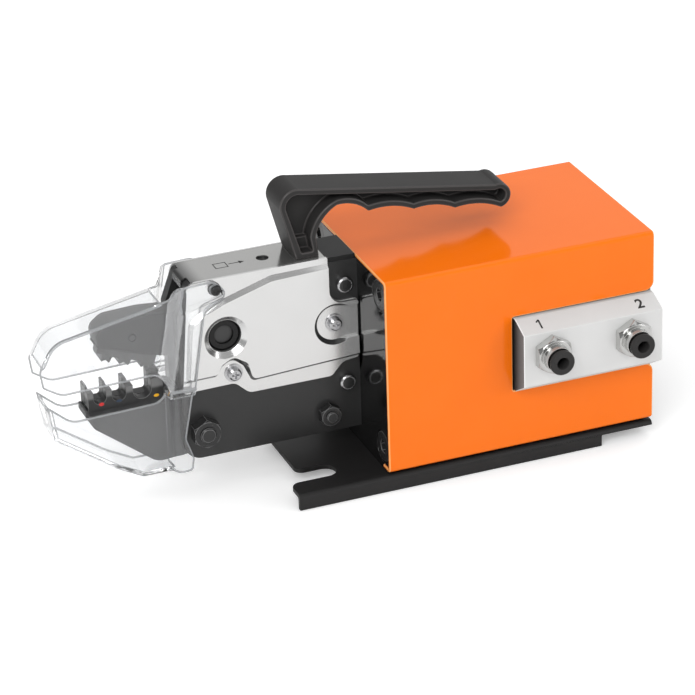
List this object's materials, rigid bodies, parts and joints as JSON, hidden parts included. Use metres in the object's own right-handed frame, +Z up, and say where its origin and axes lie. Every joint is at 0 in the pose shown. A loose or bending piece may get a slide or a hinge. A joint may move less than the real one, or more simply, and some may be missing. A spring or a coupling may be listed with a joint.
{
  "type": "pneumatic crimping machine",
  "caption": "Bench pneumatic crimping machine: an air cylinder drives a wedge between two rollers and closes a pair of jaws with interlocking dies behind a hinged clear guard.",
  "frame": {"origin": "centre of the footprint of the whole outline, on the surface that the machine stands on", "axes": "+X from the jaws to the back of the cover, +Z up, -Y the side with the air inlets"},
  "size_m": [0.2964, 0.1226, 0.1473],
  "materials": {
    "orange_paint": "glossy powder coat",
    "black_paint": "satin black paint",
    "gloss_black": "gloss black paint",
    "black_plate": "blackened ground steel",
    "cylinder_grey": "anodised",
    "satin_block": "bead blasted",
    "nickel": "nickel plated",
    "chrome": "polished",
    "satin_strip": "brushed",
    "jaw_steel": "phosphated",
    "die_steel": "blackened",
    "bright_steel": "ground",
    "black_steel": "blackened",
    "dark_steel": "phosphated",
    "bronze": "sintered bronze",
    "seal_rubber": "moulded",
    "black_plastic": "moulded, fine grain",
    "clear_plastic": "clear moulded"
  },
  "bodies": {
    "root": {"base_plate": "black_paint", "base_screws": "bright_steel", "cover_screws": "bright_steel", "front_plate": "gloss_black", "tie_rods": "bright_steel", "spacer_sleeves": "bright_steel", "cylinder_body": "cylinder_grey", "cylinder_seal": "seal_rubber", "rear_cap": "gloss_black", "rod_bush": "bronze", "rod_seal": "seal_rubber", "outer_cover": "orange_paint", "inlet_block": "satin_block", "inlet_fitting_1": "nickel", "inlet_fitting_2": "nickel", "tube_seals": "seal_rubber", "side_plate_near": "black_plate", "side_plate_far": "black_plate", "top_bar": "black_plate", "lower_block": "black_plate", "head_screws": "black_steel", "rear_rivets": "bright_steel", "upper_pivot_pin": "black_steel", "lower_pivot_bolt": "dark_steel", "lower_pivot_nut": "dark_steel", "rear_frame_bolt": "dark_steel", "rear_frame_nut": "dark_steel", "upper_return_spring": "bright_steel", "lower_return_spring": "bright_steel", "side_cover_near": "chrome", "side_cover_far": "chrome", "side_cover_screws": "bright_steel", "top_strip": "satin_strip", "handle": "black_plastic", "handle_screws": "black_steel", "guard_screws": "black_steel"},
    "ram": {"piston": "cylinder_grey", "piston_seal": "seal_rubber", "piston_nut": "bright_steel", "piston_rod": "bright_steel", "ram_pin": "bright_steel", "wedge_ram": "bright_steel"},
    "upper_jaw": {"upper_jaw": "jaw_steel", "upper_jaw_bush": "bronze", "upper_die": "jaw_steel", "upper_die_screws": "black_steel", "upper_roller_pin": "bright_steel"},
    "lower_jaw": {"lower_jaw": "jaw_steel", "lower_jaw_bush": "bronze", "lower_die": "die_steel", "lower_die_screws": "black_steel", "lower_roller_pin": "bright_steel"},
    "upper_roller": {"upper_roller": "bright_steel"},
    "lower_roller": {"lower_roller": "bright_steel"},
    "guard": {"guard": "clear_plastic"},
    "collar_1": {"release_collar_1": "black_plastic"},
    "collar_2": {"release_collar_2": "black_plastic"}
  },
  "joints": [
    {"name": "ram_slide", "type": "slide", "parent": "root", "child": "ram", "axis": [-1, 0, 0], "range_m": [0, 0.034], "stiffness_N_per_m": 400, "springref_m": -0.02},
    {"name": "upper_jaw_hinge", "type": "hinge", "parent": "root", "child": "upper_jaw", "pos_m": [-0.05838, 0.0126, 0.0811], "axis": [0, -1, 0], "range_deg": [0, 9.81], "deforming": ["upper_return_spring"]},
    {"name": "lower_jaw_hinge", "type": "hinge", "parent": "root", "child": "lower_jaw", "pos_m": [-0.07088, 0.0126, 0.0338], "axis": [0, 1, 0], "range_deg": [0, 9.81], "deforming": ["lower_return_spring"]},
    {"name": "upper_roller_spin", "type": "hinge", "parent": "upper_jaw", "child": "upper_roller", "pos_m": [-0.01898, 0.0126, 0.0722], "axis": [0, 1, 0], "range_deg": [0, 278.4]},
    {"name": "lower_roller_spin", "type": "hinge", "parent": "lower_jaw", "child": "lower_roller", "pos_m": [-0.01898, 0.0126, 0.0507], "axis": [0, -1, 0], "range_deg": [0, 278.4]},
    {"name": "guard_hinge", "type": "hinge", "parent": "root", "child": "guard", "pos_m": [-0.06258, 0.0126, 0.1066], "axis": [0, 1, 0], "range_deg": [0, 90]},
    {"name": "release_collar_1_slide", "type": "slide", "parent": "root", "child": "collar_1", "axis": [0, 1, 0], "range_m": [0, 0.001], "stiffness_N_per_m": 400, "springref_m": -0.001},
    {"name": "release_collar_2_slide", "type": "slide", "parent": "root", "child": "collar_2", "axis": [0, 1, 0], "range_m": [0, 0.001], "stiffness_N_per_m": 400, "springref_m": -0.001}
  ],
  "couplings": [
    {"joint": "upper_jaw_hinge", "follows": "ram_slide", "rad_per_m": 5.0307},
    {"joint": "lower_jaw_hinge", "follows": "ram_slide", "rad_per_m": 5.0307},
    {"joint": "upper_roller_spin", "follows": "ram_slide", "rad_per_m": 142.86},
    {"joint": "lower_roller_spin", "follows": "ram_slide", "rad_per_m": 142.86}
  ]
}
